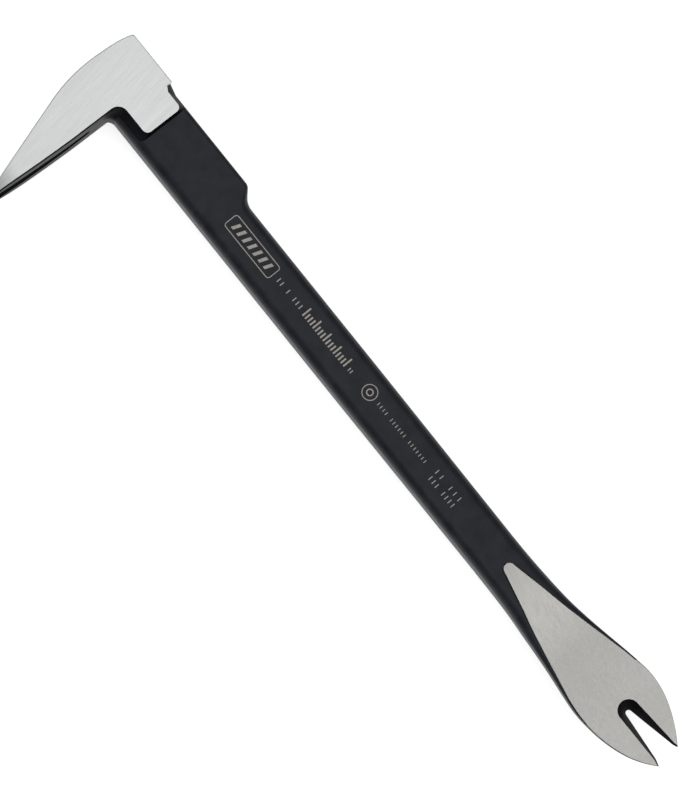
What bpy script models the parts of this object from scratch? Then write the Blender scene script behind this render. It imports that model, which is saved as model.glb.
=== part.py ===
"""Forged 10 inch claw bar: a striking head with a nail claw, a flat shank and a bent foot with
a nail slot. The real tool is one piece of steel; each functional region of the forging is its
own solid here, with a hairline gap between neighbours.

Design frame, in millimetres: X runs along the shank towards the foot, Y across it towards the
striking face, Z through its thickness towards the bevelled side of both nail slots. The design
origin lies on the shank's axis. TOOL_FRAME moves the finished tool so that the world origin is
at the bottom centre of its bounding box.
"""
import math

import bmesh
import bpy
from mathutils import Vector

MM = 0.001
GAP = 0.3                    # hairline between neighbouring regions of the forging

# Shank: a flat bar with rounded edges, wider behind the head (the hump).
SHANK_HALF_WIDTH = 7.35
WAIST_HALF_WIDTH = 7.15      # just above the foot
WAIST_X = (0.0, 60.0)
SHANK_HALF_THICK = 5.5
SHANK_EDGE = 3.2
HUMP_BACK = 10.75            # Y of the hump's back
HUMP_EDGE = 1.3
HUMP_STEP = ((-65.0, 2.5), (-61.0, 6.0))    # (X, fillet) where the hump steps in to the shank

# Head: flat ground sides, a striking face parallel to the shank, a crowned outer curve.
HEAD_HALF_THICK = 7.75
EDGE_BREAK = 0.35            # chamfer on the ground edges
FACE_Y = 11.9                # striking face
FACE_END_X = -101.1
STEP_RUN = 3.6               # behind the face the back steps in to the hump over this run
STEP_LEDGE = 0.9             # and starts this far above the hump
CROWN_CENTRE = (-70.3, -2.7)
CROWN_RADIUS = 50.0
CROWN_TOP_Y = -1.0           # above here the crown stays fuller, then turns in to the face
CROWN_TOP_CURL = 0.00056
CROWN_RUNOUT = 0.325         # slope of the straight run from the crown to the claw's tip
INNER_X = -105.15            # inner face of the claw at INNER_Y, curling back from there
INNER_Y = -10.0
INNER_CURL = 0.001
CLAW_TIP_Y = -50.4
CLAW_FLAT_Y = -20.0          # beyond this the claw is straight on both sides
CLAW_TAPER_Y = -38.0         # beyond this the claw narrows in Z
CLAW_TAPER = 0.42
PAD_NECK_Y = -3.4            # edges of the ground side face at the neck
PAD_BACK_Y = 9.1
PAD_END_X = -93.6
WALL_FOOT_Z = 5.0            # where the walls round the ground face meet the shank
WALL_FOOT_X = -92.8
NECK_FILLET = 2.9

# Foot: the shank bends towards +Z, thins to a wedge and flares into two tines.
FOOT_START_X = 62.0
BEND_END_X = 95.0
BEND_SLOPE = 0.30
FOOT_TIP_X = 133.85
TIP_SKEW = (-0.11, 114.0, 16.0)     # the left tine is a little longer: slope, from X, over
FOOT_DRIFT = (-0.3, 74.0, 12.0, 106.0, 9.0)     # the flare sits off centre: in Y, from X, over
TIP_THICK = 0.45
WEDGE_POWER = 1.25
FLARE = ((60.0, 7.15), (92.0, 7.25), (103.0, 11.8), (112.2, 11.8))   # Bezier
TINE_ARC_RADIUS = 33.3
PAD_START_X = 64.35          # tip of the ground teardrop face
PAD_NOSE = 1.7
PAD_SPREAD = 0.228
PAD_STEP = 0.6               # its height over the coated face round it
PAD_STEP_FADE = (70.0, 125.0)
PAD_STEP_LOSS = 0.8          # share of it that is gone by then
PAD_WALL = 0.3
PAD_WALL_FADE = (104.0, 12.0)       # from X, over: the wall narrows to 0.4 of that

# Nail slots: V grooves whose flanks slope in from the bevelled side.
FOOT_SLOT = dict(root=117.4, stations=((0.0, 3.25), (15.0, 3.7), (18.0, 4.4)), bevel=0.72)
HEAD_SLOT = dict(root=-16.0, stations=((0.0, 1.8), (20.0, 3.1), (36.0, 4.1)), bevel=0.4)
SLOT_LIFT = 3.0

# Where the forging is divided into its regions.
CLAW_ROOT_Y = -20.0
CLAW_TINES_Y = -34.0
NECK_X = -91.7
HUMP_END_X = -57.0
FOOT_X = 60.0
FOOT_TINES_X = 118.7

ARC_STEPS = 5
CROWN_STEPS = 12
FOOT_STEP = 4.0
CLAW_STEP = 4.0


def clamp(value, low, high):
    return max(low, min(high, value))


def smooth(t):
    t = clamp(t, 0.0, 1.0)
    return t * t * (3.0 - 2.0 * t)


def bezier(points, t):
    a, b, c, d = points
    s = 1.0 - t
    return tuple(s ** 3 * a[k] + 3 * s * s * t * b[k] + 3 * s * t * t * c[k] + t ** 3 * d[k]
                 for k in range(2))


def rounded(corners, steps=ARC_STEPS):
    """Points of a closed outline; each corner is (x, y, radius), and radius 0 stays sharp."""
    out = []
    for i, (x, y, radius) in enumerate(corners):
        if radius == 0.0:
            out.append((x, y))
            continue
        here = Vector((x, y))
        back = (Vector(corners[i - 1][:2]) - here).normalized()
        ahead = (Vector(corners[(i + 1) % len(corners)][:2]) - here).normalized()
        half = back.angle(ahead) / 2.0
        centre = here + (back + ahead).normalized() * (radius / math.sin(half))
        start = here + back * (radius / math.tan(half)) - centre
        end = here + ahead * (radius / math.tan(half)) - centre
        sweep = start.angle_signed(end)
        for k in range(steps + 1):
            turn = -sweep * k / steps
            out.append((centre.x + start.x * math.cos(turn) - start.y * math.sin(turn),
                        centre.y + start.x * math.sin(turn) + start.y * math.cos(turn)))
    return out


# ---- the head and its claw: a stack of outlines through the thickness ----

def inner_x(y):
    """Inner face of the claw."""
    return INNER_X - INNER_CURL * min(0.0, y - INNER_Y) ** 2


def outer_x(y, inset=0.0):
    """Crowned outer curve of the head: full at the top, straight towards the claw's tip."""
    cx, cy = CROWN_CENTRE
    lean = math.atan(CROWN_RUNOUT)
    radius = CROWN_RADIUS - inset
    tangent_y = cy - radius * math.sin(lean)
    if y > CROWN_TOP_Y:
        rise = CROWN_TOP_Y - cy
        run = math.sqrt(radius ** 2 - rise ** 2)
        up = y - CROWN_TOP_Y
        return cx - run + up * rise / run + CROWN_TOP_CURL * up ** 3
    if y >= tangent_y:
        return cx - math.sqrt(radius ** 2 - (y - cy) ** 2)
    return cx - radius * math.cos(lean) + CROWN_RUNOUT * (tangent_y - y)


def claw_stations():
    """Y of the matched points on the claw's two edges, from the tip up."""
    count = round((CLAW_FLAT_Y - CLAW_TIP_Y) / CLAW_STEP)
    return [CLAW_TIP_Y + (CLAW_FLAT_Y - CLAW_TIP_Y) * k / count for k in range(count + 1)]


def edge_inset(y, inset):
    """The chamfer shrinks where the claw runs out to its thin tip."""
    return min(inset, 0.3 * (inner_x(y) - outer_x(y)))


def edge_round(z, radius):
    """How far a rounded edge of the shank has come in at height z."""
    rise = abs(z) - (SHANK_HALF_THICK - radius)
    return radius - math.sqrt(radius ** 2 - rise ** 2) if rise > 0.0 else 0.0


def head_outline(z):
    """The head's outline at height z, from the claw's tip along its inner face and round."""
    inset = EDGE_BREAK if abs(z) > HEAD_HALF_THICK - 0.5 * EDGE_BREAK else 0.0
    inside = 0.05            # the buried part of the head stays just under the shank's skin
    if abs(z) <= WALL_FOOT_Z:
        neck_y = -SHANK_HALF_WIDTH + edge_round(z, SHANK_EDGE) + inside
        back_y = HUMP_BACK - edge_round(z, HUMP_EDGE) - inside
        end_x = WALL_FOOT_X
        rise = 0.0
    else:
        foot_y = -SHANK_HALF_WIDTH + edge_round(WALL_FOOT_Z, SHANK_EDGE)
        foot_back_y = HUMP_BACK - edge_round(WALL_FOOT_Z, HUMP_EDGE)
        rise = (abs(z) - WALL_FOOT_Z) / (HEAD_HALF_THICK - WALL_FOOT_Z)
        neck_y = foot_y + (PAD_NECK_Y - foot_y) * rise
        back_y = foot_back_y + (PAD_BACK_Y - foot_back_y) * rise
        end_x = WALL_FOOT_X + (PAD_END_X - WALL_FOOT_X) * rise
    step_x = FACE_END_X + STEP_RUN - 2.0 * rise
    apex_y = FACE_Y - inset
    fillet = NECK_FILLET + 0.3 * rise
    corners = [(inner_x(y) - edge_inset(y, inset), y, 0.0) for y in claw_stations()]
    corners += [(inner_x(neck_y) - inset, neck_y, fillet),
                (end_x, neck_y, 1.2 + 0.5 * rise),
                (end_x, back_y, 1.5),
                (step_x, back_y, 0.8),
                (FACE_END_X, back_y + STEP_LEDGE, 0.25),
                (FACE_END_X, FACE_Y - inset, 0.25),
                (outer_x(apex_y, inset), apex_y, 1.0)]
    crown_end = claw_stations()[-1]
    for k in range(1, CROWN_STEPS):
        y = apex_y + (crown_end - apex_y) * (k + 1) / (CROWN_STEPS + 1)
        corners.append((outer_x(y, inset), y, 0.0))
    corners += [(outer_x(y) + edge_inset(y, inset), y, 0.0) for y in reversed(claw_stations())]
    return rounded(corners)


def claw_narrowing(y):
    """The claw's sides curve in towards its tip."""
    run = (CLAW_TAPER_Y - y) / (CLAW_TAPER_Y - CLAW_TIP_Y)
    return 1.0 - CLAW_TAPER * max(0.0, run) ** 2


def head_mesh():
    arc_heights = [SHANK_HALF_THICK - SHANK_EDGE, 3.4, 4.2, WALL_FOOT_Z]
    heights = arc_heights + [HEAD_HALF_THICK - EDGE_BREAK, HEAD_HALF_THICK]
    levels = [-z for z in reversed(heights)] + heights
    bm = bmesh.new()
    rings = []
    for z in levels:
        ring = [bm.verts.new((x, y, z * claw_narrowing(y))) for x, y in head_outline(z)]
        rings.append(ring)
    for low, high in zip(rings, rings[1:]):
        for k in range(len(low)):
            bm.faces.new((low[k - 1], low[k], high[k], high[k - 1]))
    pairs = len(claw_stations())
    for ring in (rings[0], rings[-1]):
        for k in range(pairs - 1):
            bm.faces.new((ring[k], ring[k + 1], ring[-2 - k], ring[-1 - k]))
        bm.faces.new(ring[pairs - 1:len(ring) - pairs + 1])
    return finished_mesh("head", bm)


# ---- the shank and the foot: sections along X ----

def foot_run(x):
    return clamp((x - FOOT_START_X) / (FOOT_TIP_X - FOOT_START_X), 0.0, 1.0)


def middle_z(x):
    """Height of the middle of the section; the foot bends up and then runs straight."""
    bend = BEND_END_X - FOOT_START_X
    run = clamp(x - FOOT_START_X, 0.0, bend)
    return BEND_SLOPE * (run * run / (2.0 * bend) + max(0.0, x - BEND_END_X))


def thickness(x):
    full = 2.0 * SHANK_HALF_THICK
    return full - (full - TIP_THICK) * foot_run(x) ** WEDGE_POWER


def half_width(x):
    """Half width of the shank, and of the foot as it flares and rounds in to the tips."""
    if x <= FLARE[0][0]:
        run = clamp((x - WAIST_X[0]) / (WAIST_X[1] - WAIST_X[0]), 0.0, 1.0)
        return SHANK_HALF_WIDTH + (WAIST_HALF_WIDTH - SHANK_HALF_WIDTH) * run
    crest_x, crest = FLARE[-1]
    if x >= crest_x:
        return crest - TINE_ARC_RADIUS + math.sqrt(TINE_ARC_RADIUS ** 2 - (x - crest_x) ** 2)
    low, high = 0.0, 1.0
    for _ in range(40):
        mid = (low + high) / 2.0
        if bezier(FLARE, mid)[0] < x:
            low = mid
        else:
            high = mid
    return bezier(FLARE, low)[1]


def back_outline():
    """The back edge of the hump and its step down to the shank, as points along X."""
    (top_x, top_r), (low_x, low_r) = HUMP_STEP
    far = 40.0
    corners = [(top_x - far, -far, 0.0), (top_x - far, HUMP_BACK, 0.0), (top_x, HUMP_BACK, top_r),
               (low_x, SHANK_HALF_WIDTH, low_r), (low_x + far, SHANK_HALF_WIDTH, 0.0),
               (low_x + far, -far, 0.0)]
    return rounded(corners)[2:-2]


def back_y(x):
    """Y of the back edge at x."""
    outline = back_outline()
    if x <= outline[0][0]:
        return HUMP_BACK
    if x >= outline[-1][0]:
        return half_width(x)
    for (x0, y0), (x1, y1) in zip(outline, outline[1:]):
        if x0 <= x <= x1:
            return y0 + (y1 - y0) * (x - x0) / (x1 - x0)
    return half_width(x)


def pad_half_width(x):
    """Half width of the ground teardrop face: a round nose, then straight spreading edges."""
    run = x - PAD_START_X
    if run <= 0.0:
        return 0.0
    nose = math.sqrt(max(0.0, PAD_NOSE ** 2 - (PAD_NOSE - min(run, PAD_NOSE)) ** 2))
    return nose + PAD_SPREAD * max(0.0, run - PAD_NOSE)


def pad_step(x):
    fade = smooth((x - PAD_STEP_FADE[0]) / (PAD_STEP_FADE[1] - PAD_STEP_FADE[0]))
    return PAD_STEP * (1.0 - PAD_STEP_LOSS * fade) if x > PAD_START_X else 0.0


def pad_wall(x):
    start, run = PAD_WALL_FADE
    return PAD_WALL * (1.0 - 0.6 * smooth((x - start) / run))


def pad_z(x):
    return middle_z(x) + thickness(x) / 2.0 + pad_step(x)


def section(x):
    """The closed section at x, as (y, z) points, from the left side over the top and round."""
    left, right = -half_width(x), back_y(x)
    top = middle_z(x) + thickness(x) / 2.0
    bottom = middle_z(x) - thickness(x) / 2.0
    blend = smooth((x - HUMP_STEP[0][0]) / (HUMP_STEP[1][0] - HUMP_STEP[0][0]))
    thin = 0.45 * thickness(x)
    wall = pad_wall(x)
    pad = min(pad_half_width(x), half_width(x) - 2.0 * wall)
    room = max(half_width(x) - pad - wall, wall)
    left_edge = min(SHANK_EDGE, thin, room)
    right_edge = min(HUMP_EDGE + (SHANK_EDGE - HUMP_EDGE) * blend, thin, room)
    low_edge = min(SHANK_EDGE, thin)
    low_right_edge = min(HUMP_EDGE + (SHANK_EDGE - HUMP_EDGE) * blend, thin)
    pad_top = top + pad_step(x)
    points = arc(left + left_edge, top - left_edge, left_edge, 180.0, 90.0)
    points += [(-pad - wall, top), (-pad, pad_top), (0.0, pad_top), (pad, pad_top),
               (pad + wall, top)]
    points += arc(right - right_edge, top - right_edge, right_edge, 90.0, 0.0)
    points += arc(right - low_right_edge, bottom + low_right_edge, low_right_edge, 0.0, -90.0)
    points += [(0.0, bottom)]
    points += arc(left + low_edge, bottom + low_edge, low_edge, -90.0, -180.0)
    return points


def foot_drift(x):
    drift, start, rise, end, fall = FOOT_DRIFT
    return drift * smooth((x - start) / rise) * (1.0 - smooth((x - end) / fall))


def tip_skew(x, y):
    slope, start, run = TIP_SKEW
    return slope * y * smooth((x - start) / run)


def arc(y, z, radius, start, end):
    steps = ARC_STEPS - 1
    out = []
    for k in range(steps + 1):
        angle = math.radians(start + (end - start) * k / steps)
        out.append((y + radius * math.cos(angle), z + radius * math.sin(angle)))
    return out


def spaced(start, end, step):
    count = max(1, math.ceil((end - start) / step))
    return [start + (end - start) * k / count for k in range(count + 1)]


def bar_mesh(name, xs):
    """A loft through the sections at xs, closed at both ends."""
    bm = bmesh.new()
    rings = []
    for x in xs:
        shift = foot_drift(x)
        rings.append([bm.verts.new((x + tip_skew(x, y), y + shift, z)) for y, z in section(x)])
    for low, high in zip(rings, rings[1:]):
        for k in range(len(low)):
            bm.faces.new((low[k - 1], low[k], high[k], high[k - 1]))
    bm.faces.new(rings[0])
    bm.faces.new(rings[-1])
    bmesh.ops.remove_doubles(bm, verts=bm.verts, dist=0.0001)
    return finished_mesh(name, bm)


def foot_xs(start, end):
    """Sections along the foot, closer together round the nose of the teardrop face."""
    nose = [PAD_START_X - PAD_WALL] + [PAD_START_X + PAD_NOSE * t for t in (0.02, 0.3, 0.65, 1.0)]
    rest = spaced(nose[-1], FOOT_TIP_X, FOOT_STEP)[1:]
    inner = [x for x in nose + rest if start + 0.5 < x < end - 0.5]
    return [start] + inner + [end]


# ---- nail slots ----

def slot_mesh(name, root, along, normal, slot):
    """A V groove with a half-cone nose. Its half width is right on the bevelled surface, and
    its flanks meet below it, at a depth of half width over bevel."""
    across = normal.cross(along)
    bevel = slot["bevel"]
    bm = bmesh.new()

    def rim(distance, offset):
        return bm.verts.new(root + along * distance + across * offset + normal * SLOT_LIFT)

    lifted = [(d, w + bevel * SLOT_LIFT) for d, w in slot["stations"]]
    nose = lifted[0][1]
    steps = 4 * ARC_STEPS
    left = [rim(d, -w) for d, w in reversed(lifted[1:])]
    turn = [rim(-nose * math.sin(math.pi * k / steps), -nose * math.cos(math.pi * k / steps))
            for k in range(steps + 1)]
    right = [rim(d, w) for d, w in lifted[1:]]
    keel = [bm.verts.new(root + along * d - normal * (w / bevel)) for d, w in slot["stations"]]
    bm.faces.new(left + turn + right)
    for k in range(steps):
        bm.faces.new((turn[k], turn[k + 1], keel[0]))
    for k in range(1, len(keel)):
        near_left = turn[0] if k == 1 else left[-(k - 1)]
        near_right = turn[-1] if k == 1 else right[k - 2]
        bm.faces.new((near_left, left[-k], keel[k], keel[k - 1]))
        bm.faces.new((near_right, right[k - 1], keel[k], keel[k - 1]))
    bm.faces.new((left[0], right[-1], keel[-1]))
    return finished_mesh(name, bm)


def foot_slot_mesh():
    x = FOOT_SLOT["root"]
    slope = (pad_z(FOOT_TIP_X) - pad_z(x)) / (FOOT_TIP_X - x)
    along = Vector((1.0, 0.0, slope)).normalized()
    normal = Vector((-slope, 0.0, 1.0)).normalized()
    return slot_mesh("foot_slot", Vector((x, 0.0, pad_z(x))), along, normal, FOOT_SLOT)


def head_slot_mesh():
    y = HEAD_SLOT["root"]
    slope = (inner_x(y) - inner_x(CLAW_TIP_Y)) / (y - CLAW_TIP_Y)
    along = Vector((-slope, -1.0, 0.0)).normalized()
    normal = Vector((1.0, -slope, 0.0)).normalized()
    return slot_mesh("head_slot", Vector((inner_x(y), y, 0.0)), along, normal, HEAD_SLOT)


# ---- scene objects ----

def finished_mesh(name, bm):
    bmesh.ops.recalc_face_normals(bm, faces=bm.faces)
    bmesh.ops.scale(bm, vec=(MM, MM, MM), verts=bm.verts)
    mesh = bpy.data.meshes.new(name)
    bm.to_mesh(mesh)
    bm.free()
    mesh.shade_smooth()
    mesh.set_sharp_from_angle(angle=math.radians(35.0))
    return mesh


def material(name, colour, roughness, metallic):
    made = bpy.data.materials.new(name)
    made.use_nodes = True
    shader = made.node_tree.nodes["Principled BSDF"]
    shader.inputs["Base Color"].default_value = (*colour, 1.0)
    shader.inputs["Roughness"].default_value = roughness
    shader.inputs["Metallic"].default_value = metallic
    return made


def solid(name, mesh, finish, frame):
    made = bpy.data.objects.new(name, mesh)
    made.data.materials.append(finish)
    made.parent = frame
    bpy.context.scene.collection.objects.link(made)
    return made


def helper(name, mesh, frame):
    made = bpy.data.objects.new(name, mesh)
    made.parent = frame
    made.hide_render = True
    made.display_type = "WIRE"
    bpy.context.scene.collection.objects.link(made)
    return made


def block(name, low, high, frame):
    """A box-shaped helper between two corners in millimetres."""
    bm = bmesh.new()
    bmesh.ops.create_cube(bm, size=1.0)
    for vert in bm.verts:
        for k in range(3):
            vert.co[k] = high[k] if vert.co[k] > 0.0 else low[k]
    return helper(name, finished_mesh(name, bm), frame)


def cut(target, other, operation):
    step = target.modifiers.new(other.name, "BOOLEAN")
    step.object = other
    step.operation = operation
    step.solver = "EXACT"


def tool_frame():
    """The empty on the design origin that carries every solid and helper."""
    frame = bpy.data.objects.new("tool_frame", None)
    bpy.context.scene.collection.objects.link(frame)
    return frame


def stand_on_origin(frame):
    """Move the tool so that the world origin is at the bottom centre of its bounding box."""
    graph = bpy.context.evaluated_depsgraph_get()
    points = []
    for made in bpy.data.objects:
        if made.type == "MESH" and not made.hide_render:
            points += [vert.co.copy() for vert in made.evaluated_get(graph).data.vertices]
    low = [min(point[k] for point in points) for k in range(3)]
    high = [max(point[k] for point in points) for k in range(3)]
    frame.location = (-(low[0] + high[0]) / 2.0, -(low[1] + high[1]) / 2.0, -low[2])


def build_head(frame, ground, coat):
    far = 200.0
    slot = helper("head_slot", head_slot_mesh(), frame)
    neck = helper("neck", bar_mesh("neck", [-104.0, NECK_X - GAP]), frame)
    top = block("above_claw", (-far, CLAW_ROOT_Y, -far), (NECK_X, far, far), frame)
    mid = block("claw_band", (-far, CLAW_TINES_Y, -far), (far, CLAW_ROOT_Y - GAP, far), frame)
    end_y = CLAW_TINES_Y - GAP
    front = block("front_half", (-far, -far, GAP / 2.0), (far, end_y, far), frame)
    rear = block("rear_half", (-far, -far, -far), (far, end_y, -GAP / 2.0), frame)

    head = solid("striking_head", head_mesh(), ground, frame)
    cut(head, top, "INTERSECT")
    cut(head, neck, "UNION")
    cut(head, slot, "DIFFERENCE")
    for name, keep in (("claw_root", mid), ("claw_tine_front", front), ("claw_tine_rear", rear)):
        piece = solid(name, head_mesh(), ground, frame)
        cut(piece, keep, "INTERSECT")
        cut(piece, slot, "DIFFERENCE")

    step = spaced(HUMP_STEP[0][0] - 2.0, HUMP_END_X, 1.2)
    solid("hump", bar_mesh("hump", [NECK_X] + step), coat, frame)
    solid("shank", bar_mesh("shank", [HUMP_END_X + GAP, WAIST_X[0], FOOT_X]), coat, frame)


def build_foot(frame, ground):
    far = 200.0
    slot = helper("foot_slot", foot_slot_mesh(), frame)
    blade_xs = foot_xs(FOOT_X + GAP, FOOT_TINES_X)
    blade = solid("foot_blade", bar_mesh("foot_blade", blade_xs), ground, frame)
    cut(blade, slot, "DIFFERENCE")
    left = block("left_half", (0.0, -far, -far), (far, 0.0, far), frame)
    right = block("right_half", (0.0, 0.0, -far), (far, far, far), frame)
    tine_xs = spaced(FOOT_TINES_X + GAP, FOOT_TIP_X, FOOT_STEP / 2.0)
    for name, keep in (("foot_tine_left", left), ("foot_tine_right", right)):
        tine = solid(name, bar_mesh(name, tine_xs), ground, frame)
        cut(tine, slot, "DIFFERENCE")
        cut(tine, keep, "INTERSECT")


def main():
    for old in list(bpy.data.objects):
        bpy.data.objects.remove(old)
    ground = material("ground_steel", (0.55, 0.55, 0.54), 0.35, 1.0)
    coat = material("black_coat", (0.02, 0.022, 0.026), 0.45, 0.0)
    frame = tool_frame()
    build_head(frame, ground, coat)
    build_foot(frame, ground)
    stand_on_origin(frame)


main()
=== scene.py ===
"""Looks of the forged claw bar: one closed forging with ground and coated faces, and its etched
marks, on a pale studio floor.

Shapes are worked out in the tool's design frame, in millimetres: X runs along the shank towards
the foot, Y across it towards the striking face, Z through its thickness towards the bevelled
side of both nail slots. The design origin lies on the shank's axis.
"""
import math

import bmesh
import bpy
from mathutils import Euler, Matrix, Vector


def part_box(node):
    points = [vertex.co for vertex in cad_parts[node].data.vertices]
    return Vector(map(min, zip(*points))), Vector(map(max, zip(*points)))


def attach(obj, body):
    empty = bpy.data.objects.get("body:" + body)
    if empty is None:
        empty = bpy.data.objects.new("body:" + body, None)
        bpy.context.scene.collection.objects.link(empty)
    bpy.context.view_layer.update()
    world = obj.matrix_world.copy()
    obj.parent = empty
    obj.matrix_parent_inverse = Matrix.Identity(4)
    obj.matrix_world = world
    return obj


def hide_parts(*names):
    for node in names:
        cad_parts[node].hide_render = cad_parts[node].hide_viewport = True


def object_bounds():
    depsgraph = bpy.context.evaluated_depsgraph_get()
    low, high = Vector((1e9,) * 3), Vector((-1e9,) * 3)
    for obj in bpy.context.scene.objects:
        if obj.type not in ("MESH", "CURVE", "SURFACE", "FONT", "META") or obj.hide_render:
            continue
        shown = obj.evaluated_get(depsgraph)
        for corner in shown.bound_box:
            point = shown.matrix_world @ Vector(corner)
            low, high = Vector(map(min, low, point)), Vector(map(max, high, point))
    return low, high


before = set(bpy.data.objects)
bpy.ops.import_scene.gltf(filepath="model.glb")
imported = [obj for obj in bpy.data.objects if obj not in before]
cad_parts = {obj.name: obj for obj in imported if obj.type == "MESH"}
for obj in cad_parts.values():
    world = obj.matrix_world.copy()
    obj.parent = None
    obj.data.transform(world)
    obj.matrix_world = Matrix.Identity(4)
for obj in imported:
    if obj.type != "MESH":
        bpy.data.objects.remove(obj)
cad_low, cad_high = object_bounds()

MM = 0.001

# Shank: a flat bar with rounded edges, wider behind the head (the hump).
SHANK_START_X = -56.7        # low end of the CAD node "shank"
SHANK_HALF_WIDTH = 7.35
WAIST_HALF_WIDTH = 7.15      # just above the foot
WAIST_X = (0.0, 60.0)
SHANK_HALF_THICK = 5.5
SHANK_EDGE = 3.2
HUMP_BACK = 10.75            # Y of the hump's back
HUMP_EDGE = 1.3
HUMP_STEP = ((-65.0, 2.5), (-61.0, 6.0))    # (X, fillet) where the hump steps in to the shank

# Head: flat ground sides, a striking face parallel to the shank, a crowned outer curve.
HEAD_HALF_THICK = 7.75
EDGE_BREAK = 0.35            # rounding of the ground edges
FACE_Y = 11.9                # striking face
FACE_END_X = -101.1
STEP_RUN = 3.6               # behind the face the back steps in to the hump over this run
STEP_LEDGE = 0.9             # and starts this far above the hump
CROWN_CENTRE = (-70.3, -2.7)
CROWN_RADIUS = 50.0
CROWN_TOP_Y = -1.0           # above here the crown stays fuller, then turns in to the face
CROWN_TOP_CURL = 0.00056
CROWN_RUNOUT = 0.325         # slope of the straight run from the crown to the claw's tip
INNER_X = -105.15            # inner face of the claw at INNER_Y, curling back from there
INNER_Y = -10.0
INNER_CURL = 0.001
CLAW_TIP_Y = -50.4
CLAW_FLAT_Y = -20.0          # beyond this the claw is straight on both sides
CLAW_TAPER_Y = -38.0         # beyond this the claw narrows in Z
CLAW_TAPER = 0.42
PAD_NECK_Y = -3.4            # edges of the ground side face at the neck
PAD_BACK_Y = 9.1
PAD_END_X = -93.6
WALL_FOOT_Z = 5.0            # where the walls round the ground face meet the shank
WALL_FOOT_X = -92.8
NECK_FILLET = 2.9

# Foot: the shank bends towards +Z, thins to a wedge and flares into two tines.
FOOT_START_X = 62.0
BEND_END_X = 95.0
BEND_SLOPE = 0.30
FOOT_TIP_X = 133.85
TIP_SKEW = (-0.11, 114.0, 16.0)     # the left tine is a little longer: slope, from X, over
FOOT_DRIFT = (-0.3, 74.0, 12.0, 106.0, 9.0)     # the flare sits off centre: in Y, from X, over
TIP_THICK = 0.45
WEDGE_POWER = 1.25
FLARE = ((60.0, 7.15), (92.0, 7.25), (103.0, 11.8), (112.2, 11.8))   # Bezier
TINE_ARC_RADIUS = 33.3
PAD_START_X = 64.35          # tip of the ground teardrop face
PAD_NOSE = 1.7
PAD_SPREAD = 0.228
PAD_STEP = 0.6               # its height over the coated face round it
PAD_STEP_FADE = (70.0, 125.0)
PAD_STEP_LOSS = 0.8          # share of it that is gone by then
PAD_WALL = 0.3
PAD_WALL_FADE = (104.0, 12.0)       # from X, over: the wall narrows to 0.4 of that
PAD_POINTS = (-0.97, -0.65, -0.33, 0.0, 0.33, 0.65, 0.97)    # shares of its half width
COAT_END_X = (113.0, 108.5)  # where the grinding has taken the coat off the left and right edge

# Nail slots: V grooves whose flanks slope in from the bevelled side.
FOOT_SLOT = dict(root=117.4, stations=((0.0, 3.25), (15.0, 3.7), (18.0, 4.4)), bevel=0.72)
HEAD_SLOT = dict(root=-16.0, stations=((0.0, 1.8), (20.0, 3.1), (36.0, 4.1)), bevel=0.4)
SLOT_LIFT = 3.0

ARC_STEPS = 14
CROWN_STEPS = 60
SHANK_STEP = 2.0
FOOT_STEP = 0.7
CLAW_STEP = 0.6

# Material slots of the forging. PAINTED_SHADE_RECESS is the coat on the head's walls and in the
# slots, painted darker and duller than the open coat as painted shade.
GROUND, SHADED_FOOT_GROUND, COAT, PAINTED_SHADE_RECESS = range(4)

# Camera: its place over the design origin in millimetres, its turns in radians, its lens.
CAMERA_AT = (14.4, -139.9, 900.0)
CAMERA_PITCH = 0.1055
CAMERA_ROLL = -0.1074
CAMERA_HEADING = 0.9003
LENS_MM = 144.5
SENSOR_MM = 36.0

# Light: the studio's shade by the height of the direction, and soft boxes in metres and watts.
WORLD_SHADES = ((0.0, 0.12), (0.35, 0.16), (0.8, 0.42), (1.0, 0.65))
WORLD_STRENGTH = 1.0
SOFT_BOXES = (("overhead", (0.03, -0.05, 1.1), (0.42, 1.4), 2.7),)
FLOOR_GLOW = 0.70
FLOOR_HALF_SIZE = 3.0        # metres

# Ground steel: degrees its grinding lines are turned, darkest and lightest shade, roughness.
HEAD_STEEL = (-8.0, (0.50, 0.515, 0.51), (0.645, 0.66, 0.655), (0.34, 0.44))
# The foot's steel is painted darker than the head's as shade for its tilted face; its turned
# grinding lines are its own.
SHADED_FOOT_STEEL = (99.0, (0.355, 0.35, 0.335), (0.495, 0.49, 0.47), (0.36, 0.46))

# Coat: darkest and lightest shade, and its specular level.
OPEN_COAT = ((0.0085, 0.0102, 0.0155), (0.0175, 0.0200, 0.0270), 0.25)
# The recess coat is a darker, duller copy of the open coat: painted shade in the walls, on the
# claw's inner face and in the slots.
PAINTED_SHADE_COAT = ((0.004, 0.004, 0.006), (0.008, 0.008, 0.010), 0.07)

# Marks, in design millimetres: middle of the frame, its bars, start of the scale, the ring.
FRAME_AT = (-50.5, 0.5)
FRAME_BARS = 7
BAR_PITCH = 2.4
SCALE_START_X = -26.4
SCALE_FOOT_Y = -0.7
SCALE_TICKS = 17
SCALE_PITCH = 1.15
RING_AT = (2.5, 0.55)


def clamp(value, low, high):
    return max(low, min(high, value))


def smooth(t):
    t = clamp(t, 0.0, 1.0)
    return t * t * (3.0 - 2.0 * t)


def bezier(points, t):
    a, b, c, d = points
    s = 1.0 - t
    return tuple(s ** 3 * a[k] + 3 * s * s * t * b[k] + 3 * s * t * t * c[k] + t ** 3 * d[k]
                 for k in range(2))


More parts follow.
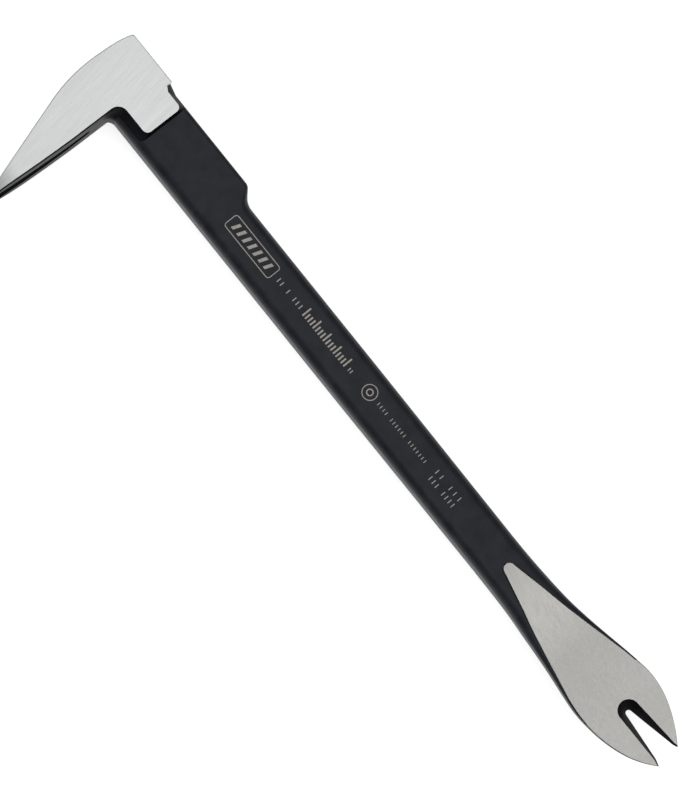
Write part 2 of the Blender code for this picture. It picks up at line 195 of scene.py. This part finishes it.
def rounded(corners, steps=ARC_STEPS):
    """Points (x, y, tag) of a closed outline; a corner is (x, y, radius, tag), and a corner of
    radius 0 stays sharp."""
    out = []
    for i, (x, y, radius, tag) in enumerate(corners):
        if radius == 0.0:
            out.append((x, y, tag))
            continue
        here = Vector((x, y))
        back = (Vector(corners[i - 1][:2]) - here).normalized()
        ahead = (Vector(corners[(i + 1) % len(corners)][:2]) - here).normalized()
        half = back.angle(ahead) / 2.0
        centre = here + (back + ahead).normalized() * (radius / math.sin(half))
        start = here + back * (radius / math.tan(half)) - centre
        end = here + ahead * (radius / math.tan(half)) - centre
        sweep = start.angle_signed(end)
        for k in range(steps + 1):
            turn = -sweep * k / steps
            out.append((centre.x + start.x * math.cos(turn) - start.y * math.sin(turn),
                        centre.y + start.x * math.sin(turn) + start.y * math.cos(turn), tag))
    return out


# ---- the head and its claw: a stack of outlines through the thickness ----

def inner_x(y):
    """Inner face of the claw."""
    return INNER_X - INNER_CURL * min(0.0, y - INNER_Y) ** 2


def outer_x(y, inset=0.0):
    """Crowned outer curve of the head: full at the top, straight towards the claw's tip."""
    cx, cy = CROWN_CENTRE
    lean = math.atan(CROWN_RUNOUT)
    radius = CROWN_RADIUS - inset
    tangent_y = cy - radius * math.sin(lean)
    if y > CROWN_TOP_Y:
        rise = CROWN_TOP_Y - cy
        run = math.sqrt(radius ** 2 - rise ** 2)
        up = y - CROWN_TOP_Y
        return cx - run + up * rise / run + CROWN_TOP_CURL * up ** 3
    if y >= tangent_y:
        return cx - math.sqrt(radius ** 2 - (y - cy) ** 2)
    return cx - radius * math.cos(lean) + CROWN_RUNOUT * (tangent_y - y)


def claw_stations():
    """Y of the matched points on the claw's two edges, from the tip up."""
    count = round((CLAW_FLAT_Y - CLAW_TIP_Y) / CLAW_STEP)
    return [CLAW_TIP_Y + (CLAW_FLAT_Y - CLAW_TIP_Y) * k / count for k in range(count + 1)]


def edge_inset(y, inset):
    """The edge rounding shrinks where the claw runs out to its thin tip."""
    return inset * min(1.0, 0.3 * (inner_x(y) - outer_x(y)) / EDGE_BREAK)


def edge_round(z, radius):
    """How far a rounded edge of the shank has come in at height z."""
    rise = abs(z) - (SHANK_HALF_THICK - radius)
    return radius - math.sqrt(radius ** 2 - rise ** 2) if rise > 0.0 else 0.0


def head_outline(z, inset):
    """The head's outline at height z, from the claw's tip along its inner face and round. Each
    point's tag is the material of the face that starts there."""
    inside = 0.05            # the buried part of the head stays just under the shank's skin
    if abs(z) <= WALL_FOOT_Z:
        neck_y = -SHANK_HALF_WIDTH + edge_round(z, SHANK_EDGE) + inside
        back_y = HUMP_BACK - edge_round(z, HUMP_EDGE) - inside
        end_x = WALL_FOOT_X
        rise = 0.0
    else:
        foot_y = -SHANK_HALF_WIDTH + edge_round(WALL_FOOT_Z, SHANK_EDGE)
        foot_back_y = HUMP_BACK - edge_round(WALL_FOOT_Z, HUMP_EDGE)
        rise = (abs(z) - WALL_FOOT_Z) / (HEAD_HALF_THICK - WALL_FOOT_Z)
        neck_y = foot_y + (PAD_NECK_Y - foot_y) * rise
        back_y = foot_back_y + (PAD_BACK_Y - foot_back_y) * rise
        end_x = WALL_FOOT_X + (PAD_END_X - WALL_FOOT_X) * rise
    step_x = FACE_END_X + STEP_RUN - 2.0 * rise
    apex_y = FACE_Y - inset
    fillet = NECK_FILLET + 0.3 * rise
    corners = [(inner_x(y) - edge_inset(y, inset), y, 0.0, PAINTED_SHADE_RECESS) for y in claw_stations()]
    corners += [(inner_x(neck_y) - inset, neck_y, fillet, PAINTED_SHADE_RECESS),
                (end_x, neck_y, 1.2 + 0.5 * rise, PAINTED_SHADE_RECESS),
                (end_x, back_y, 1.5, PAINTED_SHADE_RECESS),
                (step_x, back_y, 0.8, PAINTED_SHADE_RECESS),
                (FACE_END_X, back_y + STEP_LEDGE, 0.25, PAINTED_SHADE_RECESS),
                (FACE_END_X, FACE_Y - inset, 0.25, GROUND),
                (outer_x(apex_y, inset), apex_y, 1.0, GROUND)]
    crown_end = claw_stations()[-1]
    for k in range(1, CROWN_STEPS):
        y = apex_y + (crown_end - apex_y) * (k + 1) / (CROWN_STEPS + 1)
        corners.append((outer_x(y, inset), y, 0.0, GROUND))
    corners += [(outer_x(y) + edge_inset(y, inset), y, 0.0, GROUND)
                for y in reversed(claw_stations())]
    return rounded(corners)


def claw_narrowing(y):
    """The claw's sides curve in towards its tip."""
    run = (CLAW_TAPER_Y - y) / (CLAW_TAPER_Y - CLAW_TIP_Y)
    return 1.0 - CLAW_TAPER * max(0.0, run) ** 2


def head_levels():
    """(z, inset) of the head's outlines from the middle up to the ground side face."""
    buried = SHANK_HALF_THICK - SHANK_EDGE
    levels = [(buried + (WALL_FOOT_Z - buried) * k / 5, 0.0) for k in range(6)]
    wall_top = HEAD_HALF_THICK - EDGE_BREAK
    levels += [(WALL_FOOT_Z + (wall_top - WALL_FOOT_Z) * k / 4, 0.0) for k in range(1, 5)]
    for k in range(1, 4):
        turn = math.radians(30.0 * k)
        levels.append((wall_top + EDGE_BREAK * math.sin(turn),
                       EDGE_BREAK * (1.0 - math.cos(turn))))
    levels.append((HEAD_HALF_THICK, EDGE_BREAK + 0.05))    # keeps the side face's shading flat
    return levels


def head_object():
    rising = head_levels()
    levels = [(-z, inset) for z, inset in reversed(rising)] + rising
    bm = bmesh.new()
    rings = []
    for z, inset in levels:
        outline = head_outline(z, inset)
        tags = [tag for _, _, tag in outline]
        rings.append([bm.verts.new((x, y, z * claw_narrowing(y))) for x, y, _ in outline])
    for low, high in zip(rings, rings[1:]):
        for k in range(len(low)):
            face = bm.faces.new((low[k - 1], low[k], high[k], high[k - 1]))
            face.material_index = tags[k]
    pairs = len(claw_stations())
    for ring in (rings[0], rings[-1]):
        sides = [bm.faces.new((ring[k], ring[k + 1], ring[-2 - k], ring[-1 - k]))
                 for k in range(pairs - 1)]
        sides.append(bm.faces.new(ring[pairs - 1:len(ring) - pairs + 1]))
        for face in sides:
            face.material_index = GROUND
    return made_object("head", bm)


# ---- the shank and the foot: sections along X ----

def foot_run(x):
    return clamp((x - FOOT_START_X) / (FOOT_TIP_X - FOOT_START_X), 0.0, 1.0)


def middle_z(x):
    """Height of the middle of the section; the foot bends up and then runs straight."""
    bend = BEND_END_X - FOOT_START_X
    run = clamp(x - FOOT_START_X, 0.0, bend)
    return BEND_SLOPE * (run * run / (2.0 * bend) + max(0.0, x - BEND_END_X))


def thickness(x):
    full = 2.0 * SHANK_HALF_THICK
    return full - (full - TIP_THICK) * foot_run(x) ** WEDGE_POWER


def half_width(x):
    """Half width of the shank, and of the foot as it flares and rounds in to the tips."""
    if x <= FLARE[0][0]:
        run = clamp((x - WAIST_X[0]) / (WAIST_X[1] - WAIST_X[0]), 0.0, 1.0)
        return SHANK_HALF_WIDTH + (WAIST_HALF_WIDTH - SHANK_HALF_WIDTH) * run
    crest_x, crest = FLARE[-1]
    if x >= crest_x:
        return crest - TINE_ARC_RADIUS + math.sqrt(TINE_ARC_RADIUS ** 2 - (x - crest_x) ** 2)
    low, high = 0.0, 1.0
    for _ in range(40):
        mid = (low + high) / 2.0
        if bezier(FLARE, mid)[0] < x:
            low = mid
        else:
            high = mid
    return bezier(FLARE, low)[1]


def back_outline():
    """The back edge of the hump and its step down to the shank, as points along X."""
    (top_x, top_r), (low_x, low_r) = HUMP_STEP
    far = 40.0
    corners = [(top_x - far, -far, 0.0, 0), (top_x - far, HUMP_BACK, 0.0, 0),
               (top_x, HUMP_BACK, top_r, 0), (low_x, SHANK_HALF_WIDTH, low_r, 0),
               (low_x + far, SHANK_HALF_WIDTH, 0.0, 0), (low_x + far, -far, 0.0, 0)]
    return [(x, y) for x, y, _ in rounded(corners)[2:-2]]


BACK_OUTLINE = back_outline()


def back_y(x):
    """Y of the back edge at x."""
    if x <= BACK_OUTLINE[0][0]:
        return HUMP_BACK
    if x >= BACK_OUTLINE[-1][0]:
        return half_width(x)
    for (x0, y0), (x1, y1) in zip(BACK_OUTLINE, BACK_OUTLINE[1:]):
        if x0 <= x <= x1:
            return y0 + (y1 - y0) * (x - x0) / (x1 - x0)
    return half_width(x)


def pad_half_width(x):
    """Half width of the ground teardrop face: a round nose, then straight spreading edges."""
    run = x - PAD_START_X
    if run <= 0.0:
        return 0.0
    nose = math.sqrt(max(0.0, PAD_NOSE ** 2 - (PAD_NOSE - min(run, PAD_NOSE)) ** 2))
    return nose + PAD_SPREAD * max(0.0, run - PAD_NOSE)


def pad_step(x):
    fade = smooth((x - PAD_STEP_FADE[0]) / (PAD_STEP_FADE[1] - PAD_STEP_FADE[0]))
    return PAD_STEP * (1.0 - PAD_STEP_LOSS * fade) if x > PAD_START_X else 0.0


def pad_wall(x):
    start, run = PAD_WALL_FADE
    return PAD_WALL * (1.0 - 0.6 * smooth((x - start) / run))


def pad_z(x):
    return middle_z(x) + thickness(x) / 2.0 + pad_step(x)


def section(x):
    """The closed section at x, as (y, z, tag) points, from the left side over the top and
    round. Each point's tag is the material of the face that ends there."""
    left, right = -half_width(x), back_y(x)
    top = middle_z(x) + thickness(x) / 2.0
    bottom = middle_z(x) - thickness(x) / 2.0
    blend = smooth((x - HUMP_STEP[0][0]) / (HUMP_STEP[1][0] - HUMP_STEP[0][0]))
    thin = 0.45 * thickness(x)
    wall = pad_wall(x)
    pad = min(pad_half_width(x), half_width(x) - 2.0 * wall)
    room = max(half_width(x) - pad - wall, wall)
    left_edge = min(SHANK_EDGE, thin, room)
    right_edge = min(HUMP_EDGE + (SHANK_EDGE - HUMP_EDGE) * blend, thin, room)
    low_edge = min(SHANK_EDGE, thin)
    low_right_edge = min(HUMP_EDGE + (SHANK_EDGE - HUMP_EDGE) * blend, thin)
    pad_top = top + pad_step(x)
    # The foot's ground faces take the foot steel, which is painted darker as shade.
    face = SHADED_FOOT_GROUND if x > PAD_START_X else COAT
    left_skin, right_skin = [SHADED_FOOT_GROUND if x > end else COAT for end in COAT_END_X]
    points = arc(left + left_edge, top - left_edge, left_edge, 180.0, 90.0)
    points += [(-pad - wall, top, COAT), (-pad, pad_top, left_skin)]
    points += [(pad * share, pad_top, face) for share in PAD_POINTS]
    points += [(pad, pad_top, face), (pad + wall, top, right_skin)]
    points += arc(right - right_edge, top - right_edge, right_edge, 90.0, 0.0, right_skin)
    points += arc(right - low_right_edge, bottom + low_right_edge, low_right_edge, 0.0, -90.0)
    points += [(0.0, bottom, COAT)]
    points += arc(left + low_edge, bottom + low_edge, low_edge, -90.0, -180.0)
    return points


def foot_drift(x):
    drift, start, rise, end, fall = FOOT_DRIFT
    return drift * smooth((x - start) / rise) * (1.0 - smooth((x - end) / fall))


def tip_skew(x, y):
    slope, start, run = TIP_SKEW
    return slope * y * smooth((x - start) / run)


def arc(y, z, radius, start, end, tag=COAT):
    out = []
    for k in range(ARC_STEPS):
        angle = math.radians(start + (end - start) * k / (ARC_STEPS - 1))
        out.append((y + radius * math.cos(angle), z + radius * math.sin(angle), tag))
    return out


def spaced(start, end, step):
    count = max(1, math.ceil((end - start) / step))
    return [start + (end - start) * k / count for k in range(count + 1)]


def bar_stations():
    """Sections along the whole bar, close together at the hump's step, the nose of the
    teardrop face and along the foot."""
    start = -104.0
    step_from, step_to = HUMP_STEP[0][0] - 3.0, HUMP_STEP[1][0] + 3.0
    nose = [PAD_START_X + PAD_NOSE * (1.0 - math.cos(math.radians(a))) for a in range(4, 91, 8)]
    return (spaced(start, step_from, SHANK_STEP) + spaced(step_from, step_to, 0.4)[1:]
            + spaced(step_to, PAD_START_X - PAD_WALL, SHANK_STEP)[1:] + nose
            + spaced(PAD_START_X + PAD_NOSE, FOOT_TIP_X, FOOT_STEP)[1:])


def bar_object():
    """A loft through the sections, closed at both ends."""
    bm = bmesh.new()
    rings = []
    for x in bar_stations():
        points = section(x)
        tags = [tag for _, _, tag in points]
        shift = foot_drift(x)
        rings.append([bm.verts.new((x + tip_skew(x, y), y + shift, z)) for y, z, _ in points])
        if len(rings) == 1:
            continue
        low, high = rings[-2:]
        for k in range(len(low)):
            face = bm.faces.new((low[k - 1], low[k], high[k], high[k - 1]))
            face.material_index = tags[k]
    for ring in (rings[0], rings[-1]):
        face = bm.faces.new(ring)
        face.material_index = COAT
    bmesh.ops.remove_doubles(bm, verts=bm.verts, dist=0.0001)
    return made_object("bar", bm)


# ---- nail slots ----

def slot_object(name, root, along, normal, slot):
    """A V groove with a half-cone nose. Its half width is right on the bevelled surface, and
    its flanks meet below it, at a depth of half width over bevel."""
    across = normal.cross(along)
    bevel = slot["bevel"]
    bm = bmesh.new()

    def rim(distance, offset):
        return bm.verts.new(root + along * distance + across * offset + normal * SLOT_LIFT)

    lifted = [(d, w + bevel * SLOT_LIFT) for d, w in slot["stations"]]
    nose = lifted[0][1]
    steps = 4 * ARC_STEPS
    left = [rim(d, -w) for d, w in reversed(lifted[1:])]
    turn = [rim(-nose * math.sin(math.pi * k / steps), -nose * math.cos(math.pi * k / steps))
            for k in range(steps + 1)]
    right = [rim(d, w) for d, w in lifted[1:]]
    keel = [bm.verts.new(root + along * d - normal * (w / bevel)) for d, w in slot["stations"]]
    bm.faces.new(left + turn + right)
    for k in range(steps):
        bm.faces.new((turn[k], turn[k + 1], keel[0]))
    for k in range(1, len(keel)):
        near_left = turn[0] if k == 1 else left[-(k - 1)]
        near_right = turn[-1] if k == 1 else right[k - 2]
        bm.faces.new((near_left, left[-k], keel[k], keel[k - 1]))
        bm.faces.new((near_right, right[k - 1], keel[k], keel[k - 1]))
    bm.faces.new((left[0], right[-1], keel[-1]))
    for face in bm.faces:
        face.material_index = PAINTED_SHADE_RECESS
    return made_object(name, bm)


def foot_slot():
    x = FOOT_SLOT["root"]
    slope = (pad_z(FOOT_TIP_X) - pad_z(x)) / (FOOT_TIP_X - x)
    along = Vector((1.0, 0.0, slope)).normalized()
    normal = Vector((-slope, 0.0, 1.0)).normalized()
    return slot_object("foot_slot", Vector((x, 0.0, pad_z(x))), along, normal, FOOT_SLOT)


def head_slot():
    y = HEAD_SLOT["root"]
    slope = (inner_x(y) - inner_x(CLAW_TIP_Y)) / (y - CLAW_TIP_Y)
    along = Vector((-slope, -1.0, 0.0)).normalized()
    normal = Vector((1.0, -slope, 0.0)).normalized()
    return slot_object("head_slot", Vector((inner_x(y), y, 0.0)), along, normal, HEAD_SLOT)


# ---- objects ----

def design_origin():
    """World place of the design origin, from the CAD shank's low corner."""
    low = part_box("shank")[0]
    corner = Vector((SHANK_START_X, -SHANK_HALF_WIDTH, -SHANK_HALF_THICK)) * MM
    return Vector(low) - corner


ORIGIN = design_origin()


def made_object(name, bm):
    bmesh.ops.recalc_face_normals(bm, faces=bm.faces)
    mesh = bpy.data.meshes.new(name)
    bm.to_mesh(mesh)
    bm.free()
    made = bpy.data.objects.new(name, mesh)
    bpy.context.scene.collection.objects.link(made)
    for _ in (GROUND, SHADED_FOOT_GROUND, COAT, PAINTED_SHADE_RECESS):
        mesh.materials.append(None)
    return made


def combine(target, other, operation):
    """Applies one exact Boolean to target and removes the other object."""
    step = target.modifiers.new(other.name, "BOOLEAN")
    step.object = other
    step.operation = operation
    step.solver = "EXACT"
    graph = bpy.context.evaluated_depsgraph_get()
    mesh = bpy.data.meshes.new_from_object(target.evaluated_get(graph))
    target.modifiers.clear()
    target.data = mesh
    bpy.data.objects.remove(other)


def place_in_world(made, sharp_degrees):
    """From design millimetres to world metres, shaded smooth but for its sharp edges."""
    made.data.transform(Matrix.Translation(ORIGIN) @ Matrix.Scale(MM, 4))
    made.data.shade_smooth()
    made.data.set_sharp_from_angle(angle=math.radians(sharp_degrees))


def build_forging(materials):
    forging = head_object()
    forging.name = "forging"
    combine(forging, bar_object(), "UNION")
    combine(forging, head_slot(), "DIFFERENCE")
    combine(forging, foot_slot(), "DIFFERENCE")
    for k, finish in enumerate(materials):
        forging.data.materials[k] = finish
    place_in_world(forging, 24.0)
    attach(forging, "root")
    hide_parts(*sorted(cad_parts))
    return forging


# ---- marks etched through the coat ----

MARK_RISE = 0.02             # the marks are drawn as plates this thin


class Marks:
    """Thin closed plates on the shank's flat front face."""

    def __init__(self, name):
        self.name = name
        self.bm = bmesh.new()
        self.low = SHANK_HALF_THICK - MARK_RISE
        self.high = SHANK_HALF_THICK + MARK_RISE

    def plate(self, outline):
        low = [self.bm.verts.new((x, y, self.low)) for x, y in outline]
        high = [self.bm.verts.new((x, y, self.high)) for x, y in outline]
        self.bm.faces.new(low)
        self.bm.faces.new(high)
        for k in range(len(low)):
            self.bm.faces.new((low[k - 1], low[k], high[k], high[k - 1]))

    def band(self, outer, inner):
        """A closed band between two outlines with the same number of points."""
        rings = [[self.bm.verts.new((x, y, z)) for x, y in outline]
                 for outline, z in ((outer, self.low), (outer, self.high),
                                    (inner, self.high), (inner, self.low))]
        for a, b in zip(rings, rings[1:] + rings[:1]):
            for k in range(len(a)):
                self.bm.faces.new((a[k - 1], a[k], b[k], b[k - 1]))

    def tick(self, x, y, width, height, slant=0.0):
        """An upright stroke whose middle is at x, y."""
        half, rise = width / 2.0, height / 2.0
        lean = slant * rise
        self.plate([(x - half - lean, y - rise), (x + half - lean, y - rise),
                    (x + half + lean, y + rise), (x - half + lean, y + rise)])

    def finish(self, material):
        made = made_object(self.name, self.bm)
        made.data.materials.clear()
        made.data.materials.append(material)
        place_in_world(made, 30.0)
        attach(made, "root")


def rounded_box(x, y, length, height, radius):
    """Outline of a rounded rectangle centred at x, y."""
    a, b = length / 2.0, height / 2.0
    corners = [(x - a, y - b, radius, 0), (x + a, y - b, radius, 0),
               (x + a, y + b, radius, 0), (x - a, y + b, radius, 0)]
    return [(px, py) for px, py, _ in rounded(corners, 6)]


def circle(x, y, radius, count=48):
    return [(x + radius * math.cos(math.tau * k / count),
             y + radius * math.sin(math.tau * k / count)) for k in range(count)]


def stroke_row(marks, x, y, groups, pitch, width, height):
    """Groups of strokes in a row from x on, with a gap of one stroke between groups."""
    for count in groups:
        for _ in range(count):
            marks.tick(x, y, width, height)
            x += pitch
        x += pitch


def build_marks(material):
    x, y = FRAME_AT
    frame_mark = Marks("etched_frame")
    frame_mark.band(rounded_box(x, y, 20.0, 5.0, 1.0), rounded_box(x, y, 19.5, 4.5, 0.75))
    for k in range(FRAME_BARS):
        frame_mark.tick(x + BAR_PITCH * (k - (FRAME_BARS - 1) / 2.0), y, 1.0, 2.6, slant=0.35)
    frame_mark.finish(material)

    scale = Marks("etched_scale")
    for k in range(SCALE_TICKS):
        height = 3.2 if k % 4 == 0 else 2.0
        scale.tick(SCALE_START_X + SCALE_PITCH * k, SCALE_FOOT_Y + height / 2.0, 0.5, height)
    scale.finish(material)

    rows = Marks("etched_rows")
    stroke_row(rows, -38.4, 0.4, (2, 1, 3), 1.4, 0.3, 1.5)
    stroke_row(rows, -6.2, 0.1, (2,), 0.9, 0.3, 1.2)
    stroke_row(rows, 6.6, 0.4, (4, 6, 7), 1.16, 0.24, 1.1)
    stroke_row(rows, 31.9, 1.3, (2, 3), 2.0, 0.27, 1.5)
    stroke_row(rows, 32.1, -1.3, (3, 4), 1.42, 0.27, 1.5)
    rows.finish(material)

    ring = Marks("etched_ring")
    ring.band(circle(*RING_AT, 2.4), circle(*RING_AT, 2.15))
    ring.band(circle(*RING_AT, 1.1), circle(*RING_AT, 0.75))
    ring.finish(material)


# ---- materials ----

class Nodes:
    """A short way to write a node material."""

    def __init__(self, name):
        self.material = bpy.data.materials.new(name)
        self.material.use_nodes = True
        self.tree = self.material.node_tree
        self.shader = self.tree.nodes["Principled BSDF"]
        self.place = self.node("ShaderNodeTexCoord").outputs["Object"]

    def node(self, kind, **values):
        made = self.tree.nodes.new(kind)
        for key, value in values.items():
            setattr(made, key, value)
        return made

    def link(self, source, target):
        self.tree.links.new(source, target)

    def stretched(self, scale, turn=(0.0, 0.0, 0.0)):
        """Object coordinates turned and then scaled."""
        turned = self.node("ShaderNodeMapping", vector_type="POINT")
        turned.inputs["Rotation"].default_value = turn
        self.link(self.place, turned.inputs["Vector"])
        scaled = self.node("ShaderNodeMapping", vector_type="POINT")
        scaled.inputs["Scale"].default_value = scale
        self.link(turned.outputs["Vector"], scaled.inputs["Vector"])
        return scaled.outputs["Vector"]

    def noise(self, vector, scale=1.0, detail=2.0, rough=0.5):
        made = self.node("ShaderNodeTexNoise")
        made.inputs["Scale"].default_value = scale
        made.inputs["Detail"].default_value = detail
        made.inputs["Roughness"].default_value = rough
        self.link(vector, made.inputs["Vector"])
        return made.outputs["Fac"]

    def span(self, value, low, high, to_low, to_high):
        made = self.node("ShaderNodeMapRange")
        for key, number in zip(("From Min", "From Max", "To Min", "To Max"),
                               (low, high, to_low, to_high)):
            made.inputs[key].default_value = number
        self.link(value, made.inputs["Value"])
        return made.outputs["Result"]

    def ramp(self, value, stops):
        made = self.node("ShaderNodeValToRGB")
        elements = made.color_ramp.elements
        while len(elements) < len(stops):
            elements.new(0.5)
        for element, (at, colour) in zip(elements, stops):
            element.position = at
            element.color = (*colour, 1.0)
        self.link(value, made.inputs["Fac"])
        return made.outputs["Color"]

    def add(self, first, second, operation="ADD"):
        made = self.node("ShaderNodeMath", operation=operation)
        self.link(first, made.inputs[0])
        if isinstance(second, float):
            made.inputs[1].default_value = second
        else:
            self.link(second, made.inputs[1])
        return made.outputs["Value"]

    def bump(self, height, strength, distance):
        made = self.node("ShaderNodeBump")
        made.inputs["Strength"].default_value = strength
        made.inputs["Distance"].default_value = distance
        self.link(height, made.inputs["Height"])
        self.link(made.outputs["Normal"], self.shader.inputs["Normal"])


def brushed_steel(name, turn_degrees, dark, light, roughness):
    """Ground steel: fine and broad brush lines along one direction, and cloudy variation."""
    m = Nodes(name)
    turn = (0.0, 0.0, math.radians(turn_degrees))
    fine = m.noise(m.stretched((6500.0, 110.0, 6500.0), turn), detail=3.0, rough=0.6)
    broad = m.noise(m.stretched((2200.0, 45.0, 2200.0), turn), detail=1.0)
    cloud = m.noise(m.stretched((70.0, 40.0, 70.0), turn), detail=2.0)
    lines = m.add(fine, m.add(broad, m.add(cloud, 0.3, "MULTIPLY")))
    m.link(m.ramp(m.span(lines, 0.8, 1.5, 0.0, 1.0), ((0.0, dark), (1.0, light))),
           m.shader.inputs["Base Color"])
    m.link(m.span(broad, 0.3, 0.7, roughness[0], roughness[1]), m.shader.inputs["Roughness"])
    m.shader.inputs["Metallic"].default_value = 1.0
    m.bump(m.add(fine, broad), 0.25, 0.00002)
    return m.material


def coat_material(name, dark, light, gloss):
    """Matt black powder coat with a fine pebbled skin."""
    m = Nodes(name)
    pebble = m.noise(m.stretched((2600.0, 2600.0, 2600.0)), detail=2.0, rough=0.55)
    patch = m.noise(m.stretched((240.0, 240.0, 240.0)), detail=4.0)
    shade = m.add(m.add(pebble, 0.5, "MULTIPLY"), m.add(patch, 0.8, "MULTIPLY"))
    m.link(m.ramp(m.span(shade, 0.35, 0.95, 0.0, 1.0), ((0.0, dark), (1.0, light))),
           m.shader.inputs["Base Color"])
    m.link(m.span(patch, 0.3, 0.7, 0.40, 0.50), m.shader.inputs["Roughness"])
    m.link(m.span(patch, 0.35, 0.65, 0.82 * gloss, 1.18 * gloss),
           m.shader.inputs["Specular IOR Level"])
    m.bump(pebble, 0.35, 0.00004)
    return m.material


def etched_material():
    """Bare etched steel: warm light grey, grainy."""
    m = Nodes("etched_steel")
    grain = m.noise(m.stretched((3200.0, 3200.0, 3200.0)), detail=2.0)
    m.link(m.ramp(m.span(grain, 0.3, 0.7, 0.0, 1.0),
                  ((0.0, (0.38, 0.35, 0.32)), (1.0, (0.66, 0.62, 0.58)))),
           m.shader.inputs["Base Color"])
    m.link(m.span(grain, 0.3, 0.7, 0.55, 0.75), m.shader.inputs["Roughness"])
    m.shader.inputs["Metallic"].default_value = 0.3
    m.bump(grain, 0.2, 0.00002)
    return m.material


def floor_material():
    m = Nodes("pale_floor")
    haze = m.noise(m.stretched((3.0, 3.0, 3.0)), detail=1.0)
    m.link(m.ramp(haze, ((0.0, (0.92, 0.92, 0.92)), (1.0, (0.95, 0.95, 0.95)))),
           m.shader.inputs["Base Color"])
    m.shader.inputs["Roughness"].default_value = 0.9
    m.shader.inputs["Emission Color"].default_value = (1.0, 1.0, 1.0, 1.0)
    m.shader.inputs["Emission Strength"].default_value = FLOOR_GLOW
    return m.material


# ---- studio ----

def build_floor():
    bm = bmesh.new()
    bmesh.ops.create_grid(bm, x_segments=4, y_segments=4, size=FLOOR_HALF_SIZE)
    mesh = bpy.data.meshes.new("floor")
    bm.to_mesh(mesh)
    bm.free()
    floor = bpy.data.objects.new("floor", mesh)
    floor.location = (0.0, 0.0, cad_low.z - 0.0002)
    mesh.materials.append(floor_material())
    bpy.context.scene.collection.objects.link(floor)


def area_light(name, place, target, size, power):
    """A soft rectangular light; place and target are in metres."""
    data = bpy.data.lights.new(name, "AREA")
    data.shape = "RECTANGLE"
    data.size, data.size_y = size
    data.energy = power
    made = bpy.data.objects.new(name, data)
    made.location = place
    made.rotation_euler = (Vector(target) - Vector(place)).to_track_quat("-Z", "Y").to_euler()
    bpy.context.scene.collection.objects.link(made)


def build_world():
    """A dim studio that brightens smoothly towards the ceiling."""
    world = bpy.data.worlds.new("studio")
    bpy.context.scene.world = world
    world.use_nodes = True
    tree = world.node_tree
    for old in list(tree.nodes):
        tree.nodes.remove(old)
    direction = tree.nodes.new("ShaderNodeTexCoord")
    parts = tree.nodes.new("ShaderNodeSeparateXYZ")
    ramp = tree.nodes.new("ShaderNodeValToRGB")
    background = tree.nodes.new("ShaderNodeBackground")
    output = tree.nodes.new("ShaderNodeOutputWorld")
    tree.links.new(direction.outputs["Generated"], parts.inputs["Vector"])
    tree.links.new(parts.outputs["Z"], ramp.inputs["Fac"])
    tree.links.new(ramp.outputs["Color"], background.inputs["Color"])
    tree.links.new(background.outputs["Background"], output.inputs["Surface"])
    elements = ramp.color_ramp.elements
    while len(elements) < len(WORLD_SHADES):
        elements.new(0.5)
    for element, (height, shade) in zip(elements, WORLD_SHADES):
        element.position = height
        element.color = (shade, shade, shade, 1.0)
    background.inputs["Strength"].default_value = WORLD_STRENGTH


def build_light():
    build_world()
    for name, place, size, power in SOFT_BOXES:
        area_light(name, place, (0.0, 0.0, 0.0), size, power)


def build_camera():
    data = bpy.data.cameras.new("camera")
    data.sensor_fit = "VERTICAL"
    data.sensor_width = SENSOR_MM
    data.sensor_height = SENSOR_MM
    data.lens = LENS_MM
    data.clip_start = 0.05
    data.clip_end = 20.0
    camera = bpy.data.objects.new("camera", data)
    camera.rotation_mode = "YXZ"
    camera.rotation_euler = Euler((CAMERA_PITCH, CAMERA_ROLL, CAMERA_HEADING), "YXZ")
    camera.location = ORIGIN + Vector(CAMERA_AT) * MM
    bpy.context.scene.collection.objects.link(camera)
    bpy.context.scene.camera = camera


def main():
    bpy.context.scene.view_settings.view_transform = "Standard"
    build_forging((brushed_steel("ground_steel_head", *HEAD_STEEL),
                   brushed_steel("ground_steel_foot_shaded", *SHADED_FOOT_STEEL),
                   coat_material("black_coat", *OPEN_COAT),
                   coat_material("black_coat_painted_shade", *PAINTED_SHADE_COAT)))
    build_marks(etched_material())
    build_floor()
    build_light()
    build_camera()


main()
